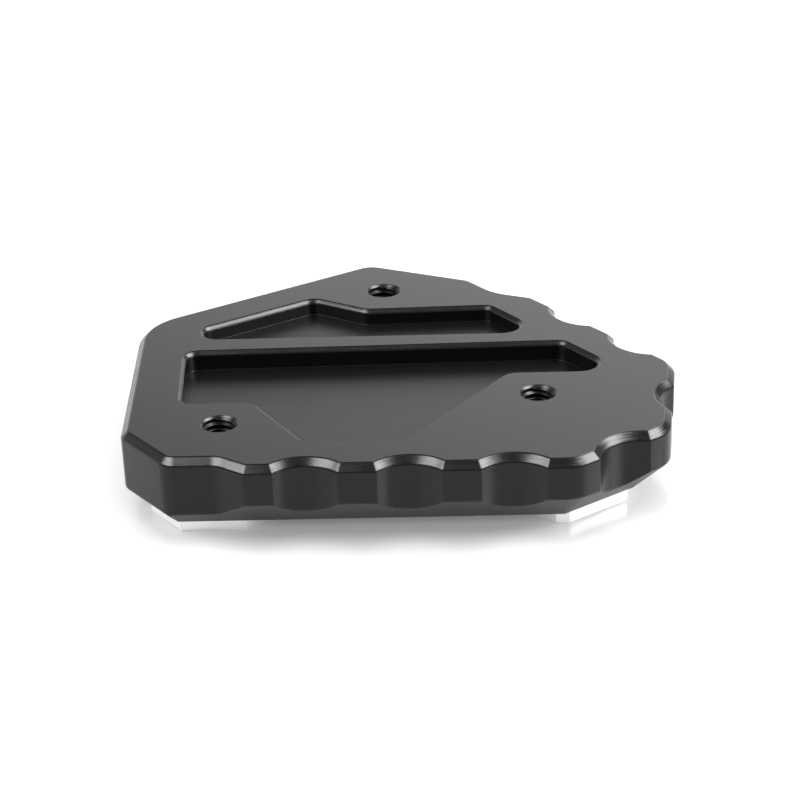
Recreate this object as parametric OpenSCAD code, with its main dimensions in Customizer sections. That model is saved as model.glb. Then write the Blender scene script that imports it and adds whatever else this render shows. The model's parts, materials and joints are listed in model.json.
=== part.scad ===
// Foot enlarger for a motorcycle kickstand.
// A fluted base plate with two pockets in its ground face, a clamp plate that
// holds the stand's own foot in a recess of the base, and three countersunk screws.
// It lies with its ground face up, on the clamp plate.
// Plan positions are measured from the front left screw, X to the right and Y to the back.

/* [Base plate] */
// Thickness of the base plate
plate_t = 14; // [12:0.5:16]
// Width of the bevel round the ground face
face_bevel = 1.3; // [0.8:0.1:1.6]
// Width of the bevel round the stand face, on the plain edges
plain_bevel = 3; // [2:0.1:3]
// Width of the deep bevel round the stand face, under the fluted edges
deep_bevel = 6.5; // [6.5:0.1:7]

/* [Outline] */
// Corner of the left edge and the front left slant
left_front = [-17.5, -2.65]; // [-20:0.05:0]
// Where the front left slant would meet the front edge
slant_front = [-5.8, -17]; // [-20:0.1:0]
// Corner of the front edge and the front right slant
front_right = [63, -17]; // [-20:0.1:70]
// Corner of the front right slant and the right edge
right_front = [79.8, -4.9]; // [-10:0.1:90]
// Corner of the right edge and the long back slant
right_back = [83.1, 21.7]; // [10:0.1:90]
// Where the long back slant would meet the back edge
slant_back = [53.2, 59.5]; // [40:0.1:70]
// Back corner
back_peak = [24.8, 71.8]; // [20:0.1:80]
// Corner of the back edge and the left edge
left_back = [-19.2, 43.9]; // [-25:0.1:50]
// Corner radii: left back, back peak, all the corners over the deep bevel, left front
corner_r = [12.5, 5, 6.6, 3.1]; // [3.1:0.1:14]

/* [Flutes] */
// Radius of a flute's wall
flute_r = 7.4; // [7:0.1:8]
// Width of a flute between the two crests beside it
flute_w = 11.3; // [11:0.1:12]
// Depth of a flute
flute_depth = 2.5; // [2.2:0.1:2.8]
// Width and depth of the shallower flute on the right edge
side_flute = [10.7, 2.15]; // [2:0.05:12]
// Radius of the crests' corners
crest_r = 0.6; // [0.4:0.1:1]
// First flute on the front edge, and the pitch there
front_flute = [15.95, 18]; // [14:0.05:18]
// Distance of the two flutes on the long back slant from its right end
slant_flutes = [11.2, 28.4]; // [10:0.1:30]
// Front left run-out: its depth, the end of its flat, where it meets the front edge
front_runout = [3.4, 0.3, 5.4]; // [0:0.1:6]
// Back run-out: its start on the back edge and its end on the long back slant
back_runout = [8.2, 7.8]; // [6:0.1:10]
// Back run-out: the bottom of its valley
back_valley = [50.8, 56.3]; // [48:0.1:60]
// Radii in the run-outs: front corner, front valley and back valley
runout_r = [3.8, 3.5, 9]; // [2:0.1:12]

/* [Pockets] */
// Depth of the front pocket and of the back one
pocket_depth = [3.8, 3.1]; // [3:0.1:4.5]
// Width of the bevel round them
pocket_bevel = 0.7; // [0.4:0.1:0.9]
// Left edge, front step, front edge and back left corner of the front pocket
front_pocket = [-9.6, 8.2, -8.2, 30.9]; // [-10:0.1:32]
// How far its left edge leans to the right on its way to the front
pocket_lean = 1.3; // [0:0.1:2]
// Back right corner of the front pocket, on the rib
rib_end = [62.9, 32.1]; // [30:0.1:64]
// Where the two slants by the screw bosses start, at the step and at the tip
boss_slants = [5, 52]; // [4:0.1:54]
// How far those slants run sideways for each millimetre forwards, left and right
boss_lean = [0.64, 0.72]; // [0.5:0.02:0.8]
// Front edge of the right tip
tip_front = 18.3; // [17:0.1:19]
// Sharp end of the right tip, before it is rounded
tip_end = 73.6; // [72:0.1:74]
// Left and front edges of the back pocket, and its left corner
back_pocket = [-7, 35.9, 41.5]; // [-8:0.1:42]
// Peak of the back pocket
pocket_peak = [14.2, 54.7]; // [10:0.1:60]
// Foot of the slant that runs down from the peak
peak_foot = [24.8, 48.6]; // [20:0.1:50]
// Back right corner of the back pocket
pocket_shoulder = [49.2, 49.3]; // [40:0.1:50]
// Sharp end of the back pocket's tip, before it is rounded
back_tip_end = 59.6; // [58:0.1:60]
// Radii of the pockets' corners, of their right tips and of the back pocket's left end,
// all at the bevel's outer edge
pocket_r = [3, 4.2, 3.6]; // [1.8:0.1:4.5]

/* [Screws] */
// Second screw, front right
screw_right = [57.1, 9.7]; // [5:0.1:60]
// Third screw, at the back
screw_back = [28.1, 57.5]; // [20:0.1:60]
// Thread diameter
thread_d = 6; // [5:1:6]
// Diameter of a threaded hole's mouth
mouth_d = 6.8; // [6.4:0.1:7]
// Length of a screw, head included
screw_l = 12; // [10:1:13]
// Diameter of a screw's head
head_d = 12; // [11:0.1:12.2]
// Hex socket: across flats and depth
hex_socket = [4, 2.2]; // [2:0.1:4]
// Chamfer on a screw's end
screw_tip = 0.8; // [0.5:0.1:1]

/* [Clamp plate] */
// Thickness of the clamp plate
clamp_t = 3.5; // [3.4:0.1:5]
// How far its edge stays inside the stand face of the base: at the front, at both sides, elsewhere
clamp_margin = [2.6, 1.1, 1.5]; // [1:0.1:3]
// Bevel on its edges
clamp_bevel = 0.4; // [0.2:0.1:0.6]
// Width of its opening for the stand's foot
opening_w = 37.2; // [34:0.2:38]
// Back end of the opening, and the radius of its corners there
opening_back = [46, 15.6]; // [14:0.2:46]
// Corners of the flared mouth: left and right on the front edge
mouth_x = [3.8, 60.2]; // [0:0.1:62]
// How far the mouth's sides run back for each millimetre sideways
mouth_lean = 0.9; // [0.5:0.1:1.5]

/* [Foot recess] */
// Width and depth of the recess that holds the stand's foot
recess_size = [44, 6]; // [5:0.5:44]
// Front and back ends of the recess
recess_y = [-4.5, 49.5]; // [-5:0.5:50]
// Corner radii of the recess, at the front and at the back
recess_r = [8, 12]; // [6:0.5:14]

/* [Hidden] */
arc_step = 6;         // degrees between the points of an arc, three times that on the smallest ones
least_r = 0.1;        // least radius that a bevel leaves of a rounded corner
over = 1;             // how far a cutter runs past the face it opens
screw_gap = 0.05;     // radial gap between a screw and its hole
sink_gap = 0.1;       // how far a screw's head lies below the clamp plate's face
rim_t = 0.2;          // straight rim of a screw's head
clearance_r = thread_d / 2 + 0.3;
screws = [[0, 0], screw_right, screw_back];

// Levels, with the ground face at the top and the clamp plate's face at zero
total_t = plate_t + clamp_t;
stand_z = clamp_t;

function unit(v) = v / norm(v);
function left_of(v) = [-v.y, v.x];
function turned(v, angle) = [v.x * cos(angle) - v.y * sin(angle), v.x * sin(angle) + v.y * cos(angle)];

// Point where the line through a along u meets the line through b along v
function meet(a, u, b, v) = a + u * cross(b - a, v) / cross(u, v);

// Points of one corner of an outline moved inwards by inset; r is its radius at no inset
function corner_points(a, b, c, r, inset) =
    let (u = unit(b - a), v = unit(c - b))
    let (turn = atan2(cross(u, v), u * v), side = sign(turn))
    let (vertex = b + inset * (left_of(u) + left_of(v)) / (1 + u * v))
    let (radius = max(least_r, r - side * inset), reach = radius * tan(abs(turn) / 2))
    let (centre = vertex - reach * u + side * radius * left_of(u))
    let (steps = max(3, ceil(abs(turn) / (r < 1 ? 3 : 1) / arc_step)))
    r == 0 ? [vertex] : [for (k = [0:steps]) centre - side * radius * turned(left_of(u), turn * k / steps)];

// A closed outline from corners [x, y, radius], anticlockwise, moved inwards by inset
function outline(corners, inset = 0) =
    let (n = len(corners), p = [for (c = corners) [c[0], c[1]]])
    [for (i = [0:n - 1]) each corner_points(p[(i + n - 1) % n], p[i], p[(i + 1) % n], corners[i][2], inset)];

// The same corners with each side moved inwards by its own amount; side i runs from corner i.
// A rounded corner keeps at least the least radius, a sharp one stays sharp
function moved_corners(corners, moves, least) =
    let (n = len(corners), p = [for (c = corners) [c[0], c[1]]])
    let (dir = [for (i = [0:n - 1]) unit(p[(i + 1) % n] - p[i])])
    [for (i = [0:n - 1]) let (j = (i + n - 1) % n)
        let (q = meet(p[i] + moves[j] * left_of(dir[j]), dir[j], p[i] + moves[i] * left_of(dir[i]), dir[i]))
        [q.x, q.y, corners[i][2] == 0 ? 0 : max(least, corners[i][2] - moves[i])]];

// Solid through levels [height, inset] of one outline; hub is a point that sees all of it
module lofted(corners, levels, hub) {
    rings = [for (l = levels) [for (p = outline(corners, l[1])) [p.x, p.y, l[0]]]];
    stacked(rings, hub);
}

// Solid through rings of points; every ring has as many points as the next one
module stacked(rings, hub) {
    n = len(rings[0]);
    top = len(rings) - 1;
    polyhedron(
        points = [
            for (ring = rings) each ring,
            [hub.x, hub.y, rings[0][0].z],
            [hub.x, hub.y, rings[top][0].z]
        ],
        faces = [
            for (i = [0:n - 1]) [i, (i + 1) % n, n * len(rings)],
            for (i = [0:n - 1]) [top * n + (i + 1) % n, top * n + i, n * len(rings) + 1],
            for (k = [0:top - 1], i = [0:n - 1])
                let (a = k * n + i, b = k * n + (i + 1) % n)
                [a, a + n, b + n, b]
        ]
    );
}

// Plain outline, without flutes or run-outs, starting at the left back corner
plain_corners = [
    [left_back.x, left_back.y, corner_r[0]],
    [left_front.x, left_front.y, corner_r[3]],
    [slant_front.x, slant_front.y, 0],
    [front_right.x, front_right.y, corner_r[2]],
    [right_front.x, right_front.y, corner_r[2]],
    [right_back.x, right_back.y, corner_r[2]],
    [slant_back.x, slant_back.y, 0],
    [back_peak.x, back_peak.y, corner_r[1]]
];
plain_bevels = [for (i = [0:7]) i >= 2 && i <= 5 ? deep_bevel : plain_bevel];

// Outline with the two run-outs, where the flutes fade into the plain edges
runout_y = slant_front.y + front_runout[0];
slant_dir = unit(slant_front - left_front);
runout_start = meet(left_front, slant_dir, [0, runout_y], [1, 0]);
back_dir = unit(back_peak - slant_back);
long_dir = unit(right_back - slant_back);
valley_a = slant_back + back_runout[1] * long_dir;
valley_b = slant_back + back_runout[0] * back_dir;
runout_end = [front_runout[2], slant_front.y];

// Slope of a flute's flanks: the one that gives its depth between tangents width apart
function flank(width, depth, low = 20, high = 60, n = 30) =
    let (mid = (low + high) / 2)
    let (excess = width / 2 * tan(mid) - flute_r * (1 / cos(mid) - 1) - depth)
    n == 0 ? mid : excess > 0 ? flank(width, depth, low, mid, n - 1) : flank(width, depth, mid, high, n - 1);

// Corners of one flute centred at along on the edge from a to b: two crest corners and its wall
function flute(a, b, along, width = flute_w, depth = flute_depth) =
    let (u = unit(b - a), middle = a + along * u)
    let (start = middle - width / 2 * u, end = middle + width / 2 * u)
    let (valley = middle + width / 2 * tan(flank(width, depth)) * left_of(u))
    [[start.x, start.y, crest_r], [valley.x, valley.y, flute_r], [end.x, end.y, crest_r]];

front_flutes = [for (i = [0:2]) front_flute[0] + i * front_flute[1]];
plate_corners = [
    plain_corners[0],
    plain_corners[1],
    [runout_start.x, runout_start.y, runout_r[0]],
    [front_runout[1], runout_y, runout_r[1]],
    [runout_end.x, runout_end.y, crest_r],
    for (x = front_flutes) each flute(slant_front, front_right, x - slant_front.x),
    plain_corners[3],
    each flute(front_right, right_front, norm(right_front - front_right) / 2),
    plain_corners[4],
    each flute(right_front, right_back, norm(right_back - right_front) / 2, side_flute[0], side_flute[1]),
    plain_corners[5],
    for (d = slant_flutes) each flute(right_back, slant_back, d),
    [valley_a.x, valley_a.y, crest_r],
    [back_valley.x, back_valley.y, runout_r[2]],
    [valley_b.x, valley_b.y, crest_r],
    plain_corners[7]
];

// Pockets, and a point inside each that sees all of its outline
front_hub = [28, 22];
back_hub = [20, 42];
step_left = [boss_slants[0], front_pocket[1]];
step_right = [boss_slants[1], tip_front];
front_cut = [step_left.x + boss_lean[0] * (step_left.y - front_pocket[2]), front_pocket[2]];
front_cut_right = [step_right.x - boss_lean[1] * (step_right.y - front_pocket[2]), front_pocket[2]];
front_pocket_corners = [
    [front_pocket[0], front_pocket[3], pocket_r[0]],
    [front_pocket[0] + pocket_lean, front_pocket[1], pocket_r[0]],
    [step_left.x, step_left.y, pocket_r[0]],
    [front_cut.x, front_cut.y, pocket_r[0]],
    [front_cut_right.x, front_cut_right.y, pocket_r[0]],
    [step_right.x, step_right.y, pocket_r[0]],
    [tip_end, tip_front, pocket_r[1]],
    [rib_end.x, rib_end.y, pocket_r[0]]
];
back_pocket_corners = [
    [back_pocket[0], back_pocket[1], pocket_r[2]],
    [back_tip_end, back_pocket[1], pocket_r[1]],
    [pocket_shoulder.x, pocket_shoulder.y, pocket_r[0]],
    [peak_foot.x, peak_foot.y, pocket_r[0]],
    [pocket_peak.x, pocket_peak.y, pocket_r[0]],
    [back_pocket[0], back_pocket[2], pocket_r[0]]
];

// Foot recess and clamp opening are centred on the back screw
recess_x = [for (side = [-1, 1]) screw_back.x + side * recess_size[0] / 2];
opening_x = [for (side = [-1, 1]) screw_back.x + side * opening_w / 2];
recess_corners = [
    [recess_x[0], recess_y[1], recess_r[1]],
    [recess_x[0], recess_y[0], recess_r[0]],
    [recess_x[1], recess_y[0], recess_r[0]],
    [recess_x[1], recess_y[1], recess_r[1]]
];
clamp_moves = [for (i = [0:7]) plain_bevels[i] + clamp_margin[i == 2 ? 0 : i == 0 || i == 4 ? 1 : 2]];
clamp_corners = moved_corners(plain_corners, clamp_moves, 1);
clamp_front = clamp_corners[2][1];

// The part's origin is the middle of its box, on the clamp plate's face
plan = outline(plate_corners);
origin = [
    (min([for (p = plan) p.x]) + max([for (p = plan) p.x])) / 2,
    (min([for (p = plan) p.y]) + max([for (p = plan) p.y])) / 2
];

module placed() {
    translate([-origin.x, -origin.y, 0]) children();
}

// Fluted plate with the bevel round its ground face
module fluted_blank() {
    lofted(plate_corners, [[stand_z, 0], [total_t - face_bevel, 0], [total_t, face_bevel]], screw_back / 2);
}

// Everything inside the 45 degree bevels that rise from the stand face
module bevel_envelope() {
    foot = moved_corners(plain_corners, plain_bevels, 1);
    top = moved_corners(plain_corners, [for (w = plain_bevels) w - plate_t - over], 1);
    stacked([
        [for (p = outline(foot)) [p.x, p.y, stand_z]],
        [for (p = outline(top)) [p.x, p.y, total_t + over]]
    ], screw_back / 2);
}

module pocket(corners, depth, hub) {
    lofted(corners, [
        [total_t - depth, pocket_bevel],
        [total_t - pocket_bevel, pocket_bevel],
        [total_t + over, -over]
    ], hub);
}

module threaded_hole() {
    mouth = (mouth_d - thread_d) / 2;
    translate([0, 0, stand_z - over])
        cylinder(h = plate_t + 2 * over, r = thread_d / 2, $fn = 48);
    translate([0, 0, total_t - mouth])
        cylinder(h = mouth + over, r1 = thread_d / 2, r2 = thread_d / 2 + mouth + over, $fn = 48);
}

module foot_recess() {
    lofted(recess_corners, [
        [stand_z - over, -over],
        [stand_z + clamp_bevel, clamp_bevel],
        [stand_z + recess_size[1], clamp_bevel]
    ], screw_back / 2);
}

module base_plate() {
    color("#26272a")
        placed()
            difference() {
                intersection() {
                    fluted_blank();
                    bevel_envelope();
                }
                pocket(front_pocket_corners, pocket_depth[0], front_hub);
                pocket(back_pocket_corners, pocket_depth[1], back_hub);
                foot_recess();
                for (s = screws)
                    translate(s) threaded_hole();
            }
}

// Opening for the stand's foot, with its flared mouth at the front edge
module clamp_opening() {
    back = opening_back[0];
    corner = opening_back[1];
    flare = [for (side = [0, 1]) clamp_front + mouth_lean * abs(opening_x[side] - mouth_x[side]) + over];
    levels = [
        [-over, -over],
        [clamp_bevel, clamp_bevel],
        [clamp_t - clamp_bevel, clamp_bevel],
        [clamp_t + over, -over]
    ];
    lofted([
        [opening_x[0], back, corner],
        [opening_x[0], clamp_front - 2 * over, 0],
        [opening_x[1], clamp_front - 2 * over, 0],
        [opening_x[1], back, corner]
    ], levels, screw_back / 2);
    lofted([
        [opening_x[0] + over, flare[0], 0],
        [mouth_x[0] - over, clamp_front - over, 0],
        [mouth_x[1] + over, clamp_front - over, 0],
        [opening_x[1] - over, flare[1], 0]
    ], levels, [screw_back.x, clamp_front]);
}

module countersunk_hole() {
    sink_r = head_d / 2 + sink_gap + rim_t;
    translate([0, 0, -over])
        cylinder(h = clamp_t + 2 * over, r = clearance_r, $fn = 48);
    translate([0, 0, -over])
        cylinder(h = sink_r - clearance_r + over, r1 = sink_r + over, r2 = clearance_r, $fn = 48);
}

module clamp_plate() {
    color("#c9cbce")
        placed()
            difference() {
                lofted(clamp_corners, [
                    [0, clamp_bevel],
                    [clamp_bevel, 0],
                    [clamp_t - clamp_bevel, 0],
                    [clamp_t, clamp_bevel]
                ], screw_back / 2);
                clamp_opening();
                for (s = screws)
                    translate(s) countersunk_hole();
            }
}

// Countersunk screw, its head down on the clamp plate's side
module screw() {
    shank_r = thread_d / 2 - screw_gap;
    difference() {
        rotate_extrude($fn = 48)
            polygon([
                [0, sink_gap],
                [head_d / 2, sink_gap],
                [head_d / 2, sink_gap + rim_t],
                [shank_r, sink_gap + rim_t + head_d / 2 - shank_r],
                [shank_r, screw_l - screw_tip],
                [shank_r - screw_tip, screw_l],
                [0, screw_l]
            ]);
        translate([0, 0, sink_gap - over])
            cylinder(h = hex_socket[1] + over, d = hex_socket[0] / cos(30), $fn = 6);
    }
}

module clamp_screws() {
    color("#8f9296")
        placed()
            for (s = screws)
                translate(s) screw();
}

base_plate();
clamp_plate();
clamp_screws();
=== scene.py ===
"""Looks of a motorcycle kickstand's foot enlarger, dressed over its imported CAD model.

The CAD nodes give every shape and place. Each class below copies its own node, merges the copy so that its
faces shade cleanly, adds the fine detail that the solids leave out and puts the finishes on.
"""

import json
import logging
import math
from collections.abc import Sequence
from dataclasses import dataclass
from enum import Enum

import bmesh
import bpy
from mathutils import Matrix, Vector

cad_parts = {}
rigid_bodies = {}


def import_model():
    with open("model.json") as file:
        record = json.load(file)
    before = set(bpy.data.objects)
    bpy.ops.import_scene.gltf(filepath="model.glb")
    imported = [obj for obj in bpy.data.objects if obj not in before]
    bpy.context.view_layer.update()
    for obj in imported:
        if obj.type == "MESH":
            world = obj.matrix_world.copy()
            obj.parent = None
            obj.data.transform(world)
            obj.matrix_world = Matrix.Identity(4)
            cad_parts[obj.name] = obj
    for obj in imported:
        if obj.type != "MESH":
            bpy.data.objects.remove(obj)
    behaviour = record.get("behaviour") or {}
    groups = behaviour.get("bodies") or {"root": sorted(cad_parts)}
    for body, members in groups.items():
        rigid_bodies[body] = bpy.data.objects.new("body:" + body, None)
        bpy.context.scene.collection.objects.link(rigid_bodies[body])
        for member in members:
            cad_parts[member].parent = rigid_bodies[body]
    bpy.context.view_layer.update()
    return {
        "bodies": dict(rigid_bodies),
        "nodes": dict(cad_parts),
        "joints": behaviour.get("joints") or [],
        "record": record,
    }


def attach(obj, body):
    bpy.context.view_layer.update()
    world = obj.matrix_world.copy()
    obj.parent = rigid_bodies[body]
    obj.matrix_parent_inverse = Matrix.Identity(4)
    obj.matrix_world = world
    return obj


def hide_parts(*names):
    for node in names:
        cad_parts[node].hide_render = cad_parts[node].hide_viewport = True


log = logging.getLogger("foot_enlarger")

MM = 0.001
BODY = "root"

# Heights of the base plate's stand face and ground face above the floor
STAND_FACE = 3.5 * MM
GROUND_FACE = 17.5 * MM

# Screw axes, measured from the middle of the part's box
SCREW_AXES = (
    Vector((-31.935, -27.079, 0.0)) * MM,
    Vector((25.165, -17.379, 0.0)) * MM,
    Vector((-3.835, 30.421, 0.0)) * MM,
)
# Everything nearer to a screw axis than this belongs to its hole
HOLE_RIM = 4.5 * MM

# Two faces meet at a sharp edge from this angle on, and count as one flat area up to this one
SHARP = math.radians(24)
FLAT = math.radians(0.6)
# Points nearer to each other than this are one point
MERGE = 0.002 * MM

# Level faces at most this far under the ground face belong to it, and not to a pocket
FACE_REACH = 0.1 * MM
# How far up the normal of a face points: on level faces, on bevels, and on anything that slopes
LEVEL_FROM = 0.95
BEVEL_SPAN = (0.5, 0.85)
SLOPE_FROM = 0.3
# Most that a level edge may climb for its length
EDGE_CLIMB = 0.3

# Worn rims start and are complete where the rounded normal has turned to these cosines
RIM_STARTS = 0.998
RIM_COMPLETE = 0.975
RIM_SAMPLES = 6


class Finish(Enum):
    """Finishes of the base plate's faces, in the order of its material slots."""

    FACE = 0
    WALL = 1
    BEVEL = 2
    UNDER = 3
    FLOOR = 4
    EDGE = 5


class Lit(Enum):
    """What a studio light falls on: a softbox shows in gloss, a fill only lightens matt surfaces."""

    GLOSS = "gloss"
    MATT = "matt"


def input_socket(group: bpy.types.NodeTree, name: str, kind: str, value: float | None = None) -> None:
    """Add a named input to a shader node group.

    Args:
        group: the group that gets the input.
        name: the input's name.
        kind: the socket's type, such as NodeSocketFloat.
        value: its default, or None for a socket without one.
    """
    socket = group.interface.new_socket(name=name, in_out="INPUT", socket_type=kind)
    if value is not None:
        socket.default_value = value


def output_socket(group: bpy.types.NodeTree, name: str, kind: str) -> None:
    """Add a named output to a shader node group.

    Args:
        group: the group that gets the output.
        name: the output's name.
        kind: the socket's type.
    """
    group.interface.new_socket(name=name, in_out="OUTPUT", socket_type=kind)


def math_node(nodes: bpy.types.Nodes, operation: str, *values: float | None) -> bpy.types.Node:
    """Add a Math node.

    Args:
        nodes: the nodes of the tree that gets it.
        operation: what it works out.
        values: its inputs in their order, with None for an input that gets a link.

    Returns:
        The node.
    """
    node = nodes.new("ShaderNodeMath")
    node.operation = operation
    for socket, value in zip(node.inputs, values):
        if value is not None:
            socket.default_value = value
    return node


def noise_node(
    nodes: bpy.types.Nodes, detail: float, roughness: float = 0.5, scale: float = 1.0
) -> bpy.types.Node:
    """Add a Noise Texture node.

    Args:
        nodes: the nodes of the tree that gets it.
        detail: how many finer layers it adds.
        roughness: how strong those layers are.
        scale: its scale.

    Returns:
        The node.
    """
    node = nodes.new("ShaderNodeTexNoise")
    node.inputs["Detail"].default_value = detail
    node.inputs["Roughness"].default_value = roughness
    node.inputs["Scale"].default_value = scale
    return node


def ramp_node(
    nodes: bpy.types.Nodes,
    start: float,
    end: float,
    reach: tuple[float, float] = (0.0, 1.0),
    smooth: bool = False,
) -> bpy.types.Node:
    """Add a Map Range node that stops at both ends.

    Args:
        nodes: the nodes of the tree that gets it.
        start: the value where its ramp starts.
        end: the value where its ramp ends.
        reach: what it gives at the start and at the end.
        smooth: whether the ramp eases in and out.

    Returns:
        The node.
    """
    node = nodes.new("ShaderNodeMapRange")
    if smooth:
        node.interpolation_type = "SMOOTHSTEP"
    node.inputs["From Min"].default_value = start
    node.inputs["From Max"].default_value = end
    node.inputs["To Min"].default_value, node.inputs["To Max"].default_value = reach
    return node


def grain_group() -> bpy.types.NodeTree:
    """Build the group for a fine even grain, as a blasted or etched face has.

    Returns:
        The group, with a Size input in metres and Height and Tone outputs from 0 to 1.
    """
    group = bpy.data.node_groups.new("fine_grain", "ShaderNodeTree")
    input_socket(group, "Size", "NodeSocketFloat", 0.3 * MM)
    output_socket(group, "Height", "NodeSocketFloat")
    output_socket(group, "Tone", "NodeSocketFloat")
    nodes, links = group.nodes, group.links
    inside = nodes.new("NodeGroupInput")
    outside = nodes.new("NodeGroupOutput")
    place = nodes.new("ShaderNodeTexCoord")
    scale = math_node(nodes, "DIVIDE", 1.0)
    links.new(inside.outputs["Size"], scale.inputs[1])
    fine = noise_node(nodes, detail=3.0, roughness=0.6)
    links.new(place.outputs["Object"], fine.inputs["Vector"])
    links.new(scale.outputs[0], fine.inputs["Scale"])
    links.new(fine.outputs["Fac"], outside.inputs["Height"])
    broad = noise_node(nodes, detail=2.0, scale=45.0)
    links.new(place.outputs["Object"], broad.inputs["Vector"])
    links.new(broad.outputs["Fac"], outside.inputs["Tone"])
    return group


def mill_group() -> bpy.types.NodeTree:
    """Build the group for the fine lines that a cutter leaves, running along one axis.

    Returns:
        The group, with Across (lines to the metre, as a vector) and Height and Tone outputs.
    """
    group = bpy.data.node_groups.new("mill_marks", "ShaderNodeTree")
    input_socket(group, "Across", "NodeSocketVector")
    output_socket(group, "Height", "NodeSocketFloat")
    output_socket(group, "Tone", "NodeSocketFloat")
    nodes, links = group.nodes, group.links
    inside = nodes.new("NodeGroupInput")
    outside = nodes.new("NodeGroupOutput")
    place = nodes.new("ShaderNodeTexCoord")
    stretch = nodes.new("ShaderNodeVectorMath")
    stretch.operation = "MULTIPLY"
    links.new(place.outputs["Object"], stretch.inputs[0])
    links.new(inside.outputs["Across"], stretch.inputs[1])
    lines = noise_node(nodes, detail=3.0, roughness=0.65)
    links.new(stretch.outputs[0], lines.inputs["Vector"])
    links.new(lines.outputs["Fac"], outside.inputs["Height"])
    tone = ramp_node(nodes, start=0.3, end=0.7)
    links.new(lines.outputs["Fac"], tone.inputs["Value"])
    links.new(tone.outputs["Result"], outside.inputs["Tone"])
    return group


def edge_group() -> bpy.types.NodeTree:
    """Build the group that finds edges: it rounds the shading normal there and masks the worn rim.

    Returns:
        The group, with a Radius input in metres and Mask and Normal outputs.
    """
    group = bpy.data.node_groups.new("edge_wear", "ShaderNodeTree")
    input_socket(group, "Radius", "NodeSocketFloat", 0.2 * MM)
    output_socket(group, "Mask", "NodeSocketFloat")
    output_socket(group, "Normal", "NodeSocketVector")
    nodes, links = group.nodes, group.links
    inside = nodes.new("NodeGroupInput")
    outside = nodes.new("NodeGroupOutput")
    rounded = nodes.new("ShaderNodeBevel")
    rounded.samples = RIM_SAMPLES
    links.new(inside.outputs["Radius"], rounded.inputs["Radius"])
    links.new(rounded.outputs["Normal"], outside.inputs["Normal"])
    surface = nodes.new("ShaderNodeNewGeometry")
    facing = nodes.new("ShaderNodeVectorMath")
    facing.operation = "DOT_PRODUCT"
    links.new(rounded.outputs["Normal"], facing.inputs[0])
    links.new(surface.outputs["Normal"], facing.inputs[1])
    rim = ramp_node(nodes, start=RIM_STARTS, end=RIM_COMPLETE)
    links.new(facing.outputs["Value"], rim.inputs["Value"])
    links.new(rim.outputs["Result"], outside.inputs["Mask"])
    return group


@dataclass(frozen=True)
class Groups:
    """The shader groups that the finishes share."""

    grain: bpy.types.NodeTree
    mill: bpy.types.NodeTree
    edge: bpy.types.NodeTree


@dataclass(frozen=True)
class Metal:
    """A metal finish: its colour, gloss, cutter marks, grain and rim.

    Colours are linear. A metallic of 0 with a dark colour is anodising, whose shine is a clear hard skin.
    """

    name: str
    color: tuple[float, float, float]
    metallic: float
    roughness: float
    rim_color: tuple[float, float, float]
    rim: float = 0.5
    rim_radius: float = 0.15 * MM
    mill_across: tuple[float, float, float] = (0.0, 0.0, 0.0)
    mill_bump: float = 0.0
    mill_depth: float = 0.02 * MM
    mill_tone: float = 0.0
    grain_size: float = 0.25 * MM
    grain_bump: float = 0.0
    grain_depth: float = 0.02 * MM
    spread: float = 0.04
    specular: float = 0.5

    def material(self, groups: Groups) -> bpy.types.Material:
        """Build this finish's material.

        Args:
            groups: the shared shader groups.

        Returns:
            The new material.
        """
        made = bpy.data.materials.new(self.name)
        made.use_nodes = True
        nodes, links = made.node_tree.nodes, made.node_tree.links
        skin = nodes["Principled BSDF"]
        skin.inputs["Metallic"].default_value = self.metallic
        skin.inputs["Specular IOR Level"].default_value = self.specular

        grain = self._placed(nodes, groups.grain)
        grain.inputs["Size"].default_value = self.grain_size
        mill = self._placed(nodes, groups.mill)
        mill.inputs["Across"].default_value = self.mill_across
        edge = self._placed(nodes, groups.edge)
        edge.inputs["Radius"].default_value = self.rim_radius

        tint = nodes.new("ShaderNodeMix")
        tint.data_type = "RGBA"
        tint.inputs["A"].default_value = (*self.color, 1.0)
        tint.inputs["B"].default_value = (*self.rim_color, 1.0)
        worn = math_node(nodes, "MULTIPLY", None, self.rim)
        links.new(edge.outputs["Mask"], worn.inputs[0])
        links.new(worn.outputs[0], tint.inputs["Factor"])
        links.new(tint.outputs["Result"], skin.inputs["Base Color"])

        patchy = math_node(nodes, "MULTIPLY_ADD", None, self.spread, self.roughness - self.spread / 2)
        links.new(grain.outputs["Tone"], patchy.inputs[0])
        lined = math_node(nodes, "MULTIPLY_ADD", None, self.mill_tone)
        links.new(mill.outputs["Tone"], lined.inputs[0])
        links.new(patchy.outputs[0], lined.inputs[2])
        links.new(lined.outputs[0], skin.inputs["Roughness"])

        lines = self._bump(nodes, self.mill_bump, self.mill_depth)
        links.new(mill.outputs["Height"], lines.inputs["Height"])
        links.new(edge.outputs["Normal"], lines.inputs["Normal"])
        grains = self._bump(nodes, self.grain_bump, self.grain_depth)
        links.new(grain.outputs["Height"], grains.inputs["Height"])
        links.new(lines.outputs["Normal"], grains.inputs["Normal"])
        links.new(grains.outputs["Normal"], skin.inputs["Normal"])
        return made

    @staticmethod
    def _placed(nodes: bpy.types.Nodes, group: bpy.types.NodeTree) -> bpy.types.Node:
        """Place a shared group in a material.

        Args:
            nodes: the material's nodes.
            group: the shared group.

        Returns:
            The group's node.
        """
        node = nodes.new("ShaderNodeGroup")
        node.node_tree = group
        return node

    @staticmethod
    def _bump(nodes: bpy.types.Nodes, strength: float, depth: float) -> bpy.types.Node:
        """Add a Bump node.

        Args:
            nodes: the material's nodes.
            strength: how much of the relief shows.
            depth: the relief's full height.

        Returns:
            The node.
        """
        node = nodes.new("ShaderNodeBump")
        node.inputs["Strength"].default_value = strength
        node.inputs["Distance"].default_value = depth
        return node


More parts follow.
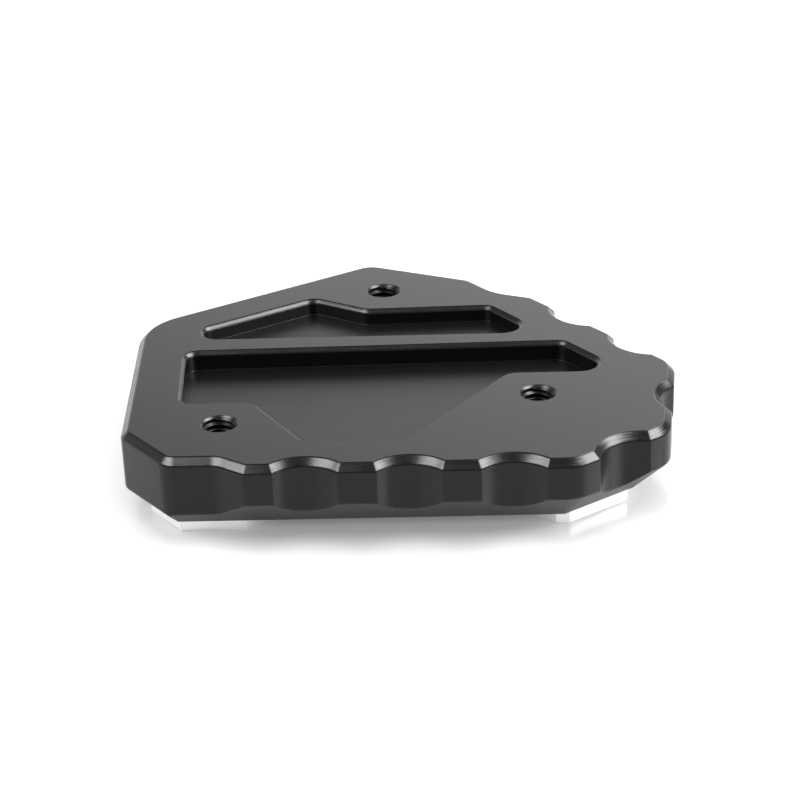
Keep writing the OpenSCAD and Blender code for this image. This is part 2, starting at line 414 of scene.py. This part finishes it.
ANODISED = (0.0008, 0.0008, 0.0009)
RUBBED = (0.02, 0.02, 0.021)

# Finishes of the base plate, in the order of Finish
BASE_FINISHES = (
    Metal(
        "anodised_face", ANODISED, metallic=0.0, roughness=0.24, rim_color=RUBBED, rim=0.1,
        rim_radius=0.04 * MM, grain_bump=0.02,
    ),
    Metal(
        "anodised_wall", ANODISED, metallic=0.0, roughness=0.27, rim_color=RUBBED, rim=0.1,
        specular=0.28,
    ),
    Metal(
        "milled_bevel", ANODISED, metallic=0.0, roughness=0.24, rim_color=RUBBED, rim=0.1,
        rim_radius=0.4 * MM, mill_across=(150.0, 150.0, 3400.0), mill_bump=0.8, mill_depth=0.06 * MM,
        mill_tone=0.07,
    ),
    Metal(
        "anodised_under", ANODISED, metallic=0.0, roughness=0.36, rim_color=RUBBED, rim=0.1,
        specular=0.32, mill_across=(60.0, 60.0, 2600.0), mill_bump=0.02, mill_tone=0.03,
    ),
    Metal(
        "pocket_floor", ANODISED, metallic=0.0, roughness=0.33, rim_color=RUBBED, rim=0.1,
        specular=0.55, mill_across=(900.0, 60.0, 900.0), mill_bump=0.01, mill_tone=0.02,
    ),
    Metal(
        "broken_edge", ANODISED, metallic=0.0, roughness=0.26, rim_color=RUBBED, rim=0.0,
        rim_radius=0.001 * MM,
    ),
)
MACHINED_ALUMINIUM = Metal(
    "machined_aluminium", (0.9, 0.902, 0.905), metallic=0.85, roughness=0.42, rim_color=(0.95, 0.95, 0.95),
    rim=0.6, mill_across=(80.0, 900.0, 900.0), mill_bump=0.12, mill_tone=0.08,
)
PLAIN_STEEL = Metal(
    "plain_steel", (0.55, 0.555, 0.56), metallic=1.0, roughness=0.3, rim_color=(0.8, 0.8, 0.8),
    grain_bump=0.03,
)


def break_edges(shape: bmesh.types.BMesh, width: float) -> list[bmesh.types.BMFace]:
    """Break the sharp level edges that stick out, as a deburring pass does, except round the holes.

    Args:
        shape: the mesh to change.
        width: how far the broken edge reaches into the faces on its two sides.

    Returns:
        The new narrow faces.
    """
    picked = []
    for edge in shape.edges:
        if len(edge.link_faces) != 2 or not edge.is_convex or edge.calc_face_angle(0.0) < SHARP:
            continue
        start, end = (vert.co for vert in edge.verts)
        level = abs(start.z - end.z) < EDGE_CLIMB * (start - end).length
        clear = all(math.hypot(start.x - axis.x, start.y - axis.y) > HOLE_RIM for axis in SCREW_AXES)
        if level and clear:
            picked.append(edge)
    made = bmesh.ops.bevel(
        shape,
        geom=picked,
        offset=width,
        offset_type="OFFSET",
        segments=1,
        profile=0.5,
        affect="EDGES",
        material=-1,
        clamp_overlap=False,
    )
    bmesh.ops.remove_doubles(shape, verts=shape.verts, dist=MERGE)
    return [face for face in made["faces"] if face.is_valid]


def refill(shape: bmesh.types.BMesh, height: float, up: float) -> None:
    """Fill the flat area at one height anew, inside its changed outline and round its holes.

    Args:
        shape: the mesh to change.
        height: the flat area's height.
        up: 1 for an area that faces up, -1 for one that faces down.
    """

    def at_height(verts: Sequence[bmesh.types.BMVert]) -> bool:
        """Tell whether every corner lies in the flat area."""
        return all(abs(vert.co.z - height) < MERGE for vert in verts)

    flat = [face for face in shape.faces if at_height(face.verts)]
    bmesh.ops.delete(shape, geom=flat, context="FACES")
    rim = [edge for edge in shape.edges if edge.is_boundary and at_height(edge.verts)]
    bmesh.ops.triangle_fill(shape, edges=rim, use_beauty=True, use_dissolve=False, normal=(0.0, 0.0, up))


def linked(name: str, shape: bmesh.types.BMesh, mesh: bpy.types.Mesh | None = None) -> bpy.types.Object:
    """Turn a finished shape into an object of the scene, with its place in its mesh.

    Args:
        name: the new object's name.
        shape: the finished shape, which is freed.
        mesh: the mesh that takes the shape, or None for a new one.

    Returns:
        The new object.
    """
    mesh = mesh or bpy.data.meshes.new(name)
    shape.to_mesh(mesh)
    shape.free()
    piece = bpy.data.objects.new(name, mesh)
    bpy.context.scene.collection.objects.link(piece)
    return piece


def clean_copy(node: bpy.types.Object, name: str, broken: float = 0.0) -> bpy.types.Object:
    """Copy a CAD node as a merged mesh whose flat areas are single faces.

    Args:
        node: the CAD node.
        name: the new object's name.
        broken: the width of its broken edges, or 0 for edges that stay sharp.

    Returns:
        The new object, linked to the scene, without materials.
    """
    mesh = node.data.copy()
    mesh.name = name
    shape = bmesh.new()
    shape.from_mesh(mesh)
    bmesh.ops.remove_doubles(shape, verts=shape.verts, dist=MERGE)
    bmesh.ops.dissolve_limit(
        shape,
        angle_limit=FLAT,
        verts=shape.verts,
        edges=shape.edges,
        use_dissolve_boundaries=False,
        delimit=set(),
    )
    narrow: set[bmesh.types.BMFace] = set()
    if broken:
        narrow.update(break_edges(shape, broken))
        refill(shape, GROUND_FACE, 1.0)
        refill(shape, STAND_FACE, -1.0)
        bmesh.ops.recalc_face_normals(shape, faces=shape.faces)
    for face in shape.faces:
        face.smooth = True
    for edge in shape.edges:
        sides = {face in narrow for face in edge.link_faces}
        edge.smooth = len(edge.link_faces) == 2 and edge.calc_face_angle(0.0) < SHARP and len(sides) == 1
    copy = linked(name, shape, mesh)
    mesh.materials.clear()
    return copy


def put_on(piece: bpy.types.Object, slot: str, *replaced: str) -> None:
    """Let a piece ride on the part's one body, and hide the nodes it stands for.

    Args:
        piece: the finished piece.
        slot: the record's material slot, which is not used.
        replaced: the CAD nodes that it replaces.
    """
    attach(piece, BODY)
    if replaced:
        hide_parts(*replaced)
    log.info("%s: %d faces", piece.name, len(piece.data.polygons))


@dataclass
class BasePlate:
    """The fluted plate with its pockets, and the thread that shows in its holes.

    The thread's root and crest are given as shares of its pitch, from the middle of its ridge.
    """

    frame: dict
    groups: Groups
    node: str = "base_plate"
    slot: str = "anodised_base"
    broken: float = 0.14 * MM
    thread_r: float = 3.0 * MM
    thread_depth: float = 0.54 * MM
    thread_bite: float = 0.02 * MM
    thread_from: float = 12.2 * MM
    pitch: float = 1.0 * MM
    half_root: float = 0.49
    half_crest: float = 0.13
    spare_turns: float = 1.01
    mouth: float = 0.4 * MM
    mouth_bite: float = 0.01 * MM
    steps: int = 40
    merge: float = 0.001 * MM

    def build(self) -> None:
        """Build the plate's skin and the three stretches of thread."""
        skin = clean_copy(self.frame["nodes"][self.node], "fluted_plate", self.broken)
        for metal in BASE_FINISHES:
            skin.data.materials.append(metal.material(self.groups))
        for face in skin.data.polygons:
            face.material_index = self.finish_of(face.normal, face.center).value
        put_on(skin, self.slot, self.node)
        thread_metal = skin.data.materials[Finish.WALL.value]
        for number, axis in enumerate(SCREW_AXES, 1):
            thread = self.thread(f"hole_thread_{number}", axis)
            thread.data.materials.append(thread_metal)
            put_on(thread, self.slot)

    @staticmethod
    def finish_of(normal: Vector, place: Vector) -> Finish:
        """Choose the finish of one face of the plate.

        Args:
            normal: the face's normal.
            place: the face's middle.

        Returns:
            The finish.
        """
        if normal.z > LEVEL_FROM:
            return Finish.FACE if place.z > GROUND_FACE - FACE_REACH else Finish.FLOOR
        if BEVEL_SPAN[0] < normal.z < BEVEL_SPAN[1]:
            return Finish.BEVEL
        if normal.z > SLOPE_FROM:
            return Finish.EDGE
        if normal.z < -SLOPE_FROM:
            return Finish.UNDER
        return Finish.WALL

    def thread(self, name: str, axis: Vector) -> bpy.types.Object:
        """Spin one stretch of internal thread, from the screw's end up to the hole's mouth.

        Args:
            name: the new object's name.
            axis: the hole's axis, at floor level.

        Returns:
            The thread's object.
        """
        turns = (GROUND_FACE - self.thread_from) / self.pitch - self.spare_turns
        shape = bmesh.new()
        outer = self.thread_r + self.thread_bite
        inner = self.thread_r - self.thread_depth
        root = self.half_root * self.pitch
        crest = self.half_crest * self.pitch
        profile = [(outer, -root), (inner, -crest), (inner, crest), (outer, root)]
        start = axis + Vector((0.0, 0.0, self.thread_from + self.pitch / 2))
        points = [shape.verts.new(start + Vector((radius, 0.0, rise))) for radius, rise in profile]
        ring = [shape.edges.new((points[i], points[(i + 1) % len(points)])) for i in range(len(points))]
        shape.faces.new(points)
        bmesh.ops.spin(
            shape,
            geom=points + ring,
            cent=start,
            axis=(0.0, 0.0, 1.0),
            dvec=(0.0, 0.0, self.pitch / self.steps),
            angle=math.tau * turns,
            steps=round(self.steps * turns),
            use_duplicate=False,
        )
        bmesh.ops.holes_fill(shape, edges=[edge for edge in shape.edges if edge.is_boundary], sides=4)
        bmesh.ops.remove_doubles(shape, verts=shape.verts, dist=self.merge)
        bmesh.ops.recalc_face_normals(shape, faces=shape.faces)
        # The ridge runs out where the chamfered mouth widens past it
        for vert in shape.verts:
            arm = Vector((vert.co.x - axis.x, vert.co.y - axis.y, 0.0))
            cone_r = self.thread_r + self.mouth - (GROUND_FACE - vert.co.z) + self.mouth_bite
            if arm.length < cone_r:
                vert.co += arm.normalized() * (cone_r - arm.length)
        return linked(name, shape)


@dataclass
class ClampPlate:
    """The bright plate that closes the recess for the stand's foot."""

    frame: dict
    groups: Groups
    node: str = "clamp_plate"
    slot: str = "machined_clamp"

    def build(self) -> None:
        """Build the plate's skin."""
        skin = clean_copy(self.frame["nodes"][self.node], "bright_clamp")
        skin.data.materials.append(MACHINED_ALUMINIUM.material(self.groups))
        put_on(skin, self.slot, self.node)


@dataclass
class ClampScrews:
    """The three countersunk screws that hold the clamp plate."""

    frame: dict
    groups: Groups
    node: str = "clamp_screws"
    slot: str = "steel_screws"

    def build(self) -> None:
        """Build the screws' skin."""
        skin = clean_copy(self.frame["nodes"][self.node], "countersunk_screws")
        skin.data.materials.append(PLAIN_STEEL.material(self.groups))
        put_on(skin, self.slot, self.node)


@dataclass(frozen=True)
class Softbox:
    """A long soft light that faces the part: the middles of its two ends, its width and its radiance."""

    name: str
    first: Vector
    last: Vector
    width: float
    radiance: float
    lit: Lit

    def hang(self) -> None:
        """Hang the light."""
        lamp = bpy.data.lights.new(self.name, "AREA")
        lamp.shape = "RECTANGLE"
        lamp.size = (self.last - self.first).length
        lamp.size_y = self.width
        lamp.energy = self.radiance * math.pi * lamp.size * lamp.size_y
        along = (self.last - self.first).normalized()
        middle = (self.first + self.last) / 2
        back = (middle - middle.dot(along) * along).normalized()
        turn = Matrix((along, back.cross(along), back)).transposed().to_4x4()
        light = bpy.data.objects.new(self.name, lamp)
        light.matrix_world = Matrix.Translation(middle) @ turn
        light.visible_diffuse = self.lit is Lit.MATT
        light.visible_glossy = self.lit is Lit.GLOSS
        bpy.context.scene.collection.objects.link(light)


SOFTBOXES = (
    Softbox(
        "left_softbox", Vector((-0.203, -0.344, 0.321)), Vector((-0.201, -0.029, 0.242)),
        width=0.185, radiance=11.2, lit=Lit.GLOSS,
    ),
    Softbox(
        "right_softbox", Vector((0.199, -0.091, 0.215)), Vector((0.295, 0.213, 0.362)),
        width=0.204, radiance=15.0, lit=Lit.GLOSS,
    ),
    Softbox(
        "low_softbox", Vector((0.40, -0.27, 0.24)), Vector((0.54, 0.0, 0.25)),
        width=0.14, radiance=10.0, lit=Lit.GLOSS,
    ),
    Softbox(
        "top_fill", Vector((-0.45, -0.3, 0.95)), Vector((0.45, -0.3, 0.95)),
        width=0.8, radiance=6.4, lit=Lit.MATT,
    ),
    Softbox(
        "front_fill", Vector((-0.5, -0.85, 0.45)), Vector((0.5, -0.85, 0.45)),
        width=0.5, radiance=7.0, lit=Lit.MATT,
    ),
    Softbox(
        "left_fill", Vector((-0.9, -0.4, 0.5)), Vector((-0.9, 0.4, 0.5)),
        width=0.5, radiance=11.5, lit=Lit.MATT,
    ),
    Softbox(
        "right_fill", Vector((0.9, -0.4, 0.5)), Vector((0.9, 0.4, 0.5)),
        width=0.5, radiance=17.0, lit=Lit.MATT,
    ),
)


@dataclass
class Studio:
    """The pale floor, the soft lights and the camera.

    The world is as bright as back_glow straight behind the part at floor level and loses rise_fade of it up
    to the zenith. It gains right_gain for each unit to the right inside side_span, up to brightest, and
    fades to front_glow over depth_span, towards the front, and over end_span, far to the right.
    """

    floor_size: float = 6.0
    floor_color: tuple[float, float, float] = (0.4, 0.4, 0.4)
    floor_rough: float = 0.14
    floor_specular: float = 0.75
    floor_glow: float = 0.1
    front_glow: float = 0.24
    back_glow: float = 2.78
    rise_fade: float = 3.4
    right_gain: float = 2.6
    brightest: float = 1.8
    side_span: float = 0.3
    depth_span: tuple[float, float] = (-0.2, 0.5)
    end_span: tuple[float, float] = (0.62, 0.42)
    focal_px: float = 2200.0
    image_px: float = 800.0
    sensor: float = 36.0
    nearest: float = 0.01
    camera_place: tuple[float, float, float] = (10.715 * MM, -375.55 * MM, 194.47 * MM)
    pitch: float = math.radians(26.4)
    yaw: float = math.radians(1.7)
    roll: float = math.radians(2.0)

    def build(self) -> None:
        """Build the studio."""
        self.floor()
        self.world()
        for light in SOFTBOXES:
            light.hang()
        self.camera()
        bpy.context.scene.view_settings.view_transform = "Standard"

    def floor(self) -> None:
        """Lay the floor and give it a plain pale paper-like finish."""
        shape = bmesh.new()
        bmesh.ops.create_grid(shape, x_segments=1, y_segments=1, size=self.floor_size / 2)
        floor = linked("floor", shape)
        paper = bpy.data.materials.new("pale_paper")
        paper.use_nodes = True
        skin = paper.node_tree.nodes["Principled BSDF"]
        skin.inputs["Base Color"].default_value = (*self.floor_color, 1.0)
        skin.inputs["Roughness"].default_value = self.floor_rough
        skin.inputs["Specular IOR Level"].default_value = self.floor_specular
        skin.inputs["Emission Color"].default_value = (1.0, 1.0, 1.0, 1.0)
        skin.inputs["Emission Strength"].default_value = self.floor_glow
        floor.data.materials.append(paper)

    def world(self) -> None:
        """Light the room: dim in front and overhead, brighter low down behind the part and to its right."""
        world = bpy.data.worlds.new("studio")
        world.use_nodes = True
        nodes, links = world.node_tree.nodes, world.node_tree.links
        place = nodes.new("ShaderNodeTexCoord")
        parts = nodes.new("ShaderNodeSeparateXYZ")
        links.new(place.outputs["Generated"], parts.inputs[0])

        rise = math_node(nodes, "MULTIPLY_ADD", None, -self.rise_fade, self.back_glow)
        links.new(parts.outputs["Z"], rise.inputs[0])
        gain = self.side_span * self.right_gain
        across = ramp_node(nodes, -self.side_span, self.side_span, reach=(-gain, gain))
        links.new(parts.outputs["X"], across.inputs["Value"])
        both = math_node(nodes, "ADD")
        links.new(rise.outputs[0], both.inputs[0])
        links.new(across.outputs["Result"], both.inputs[1])
        backdrop = nodes.new("ShaderNodeClamp")
        backdrop.inputs["Min"].default_value = self.front_glow
        backdrop.inputs["Max"].default_value = self.brightest
        links.new(both.outputs[0], backdrop.inputs["Value"])

        depth = ramp_node(nodes, *self.depth_span, smooth=True)
        links.new(parts.outputs["Y"], depth.inputs["Value"])
        end = ramp_node(nodes, *self.end_span, smooth=True)
        links.new(parts.outputs["X"], end.inputs["Value"])
        span = math_node(nodes, "MULTIPLY")
        links.new(depth.outputs["Result"], span.inputs[0])
        links.new(end.outputs["Result"], span.inputs[1])
        glow = nodes.new("ShaderNodeMix")
        glow.data_type = "FLOAT"
        glow.inputs["A"].default_value = self.front_glow
        links.new(span.outputs[0], glow.inputs["Factor"])
        links.new(backdrop.outputs["Result"], glow.inputs["B"])
        links.new(glow.outputs["Result"], nodes["Background"].inputs["Strength"])
        nodes["Background"].inputs["Color"].default_value = (1.0, 1.0, 1.0, 1.0)
        bpy.context.scene.world = world

    def camera(self) -> None:
        """Place the camera where the photograph was taken from."""
        seen = bpy.data.cameras.new("camera")
        seen.sensor_width = self.sensor
        seen.lens = self.sensor * self.focal_px / self.image_px
        seen.clip_start = self.nearest
        forward = Vector((
            -math.sin(self.yaw) * math.cos(self.pitch),
            math.cos(self.yaw) * math.cos(self.pitch),
            -math.sin(self.pitch),
        ))
        right = Vector((math.cos(self.yaw), math.sin(self.yaw), 0.0))
        up = right.cross(forward)
        across = math.cos(self.roll) * right - math.sin(self.roll) * up
        upward = math.cos(self.roll) * up + math.sin(self.roll) * right
        turn = Matrix((across, upward, -forward)).transposed().to_4x4()
        camera = bpy.data.objects.new("camera", seen)
        camera.matrix_world = Matrix.Translation(self.camera_place) @ turn
        bpy.context.scene.collection.objects.link(camera)
        bpy.context.scene.camera = camera


def main() -> None:
    """Build the dressed part and the studio round it."""
    logging.basicConfig(level=logging.INFO)
    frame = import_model()
    groups = Groups(grain_group(), mill_group(), edge_group())
    BasePlate(frame, groups).build()
    ClampPlate(frame, groups).build()
    ClampScrews(frame, groups).build()
    Studio().build()


if __name__ == "__main__":
    main()
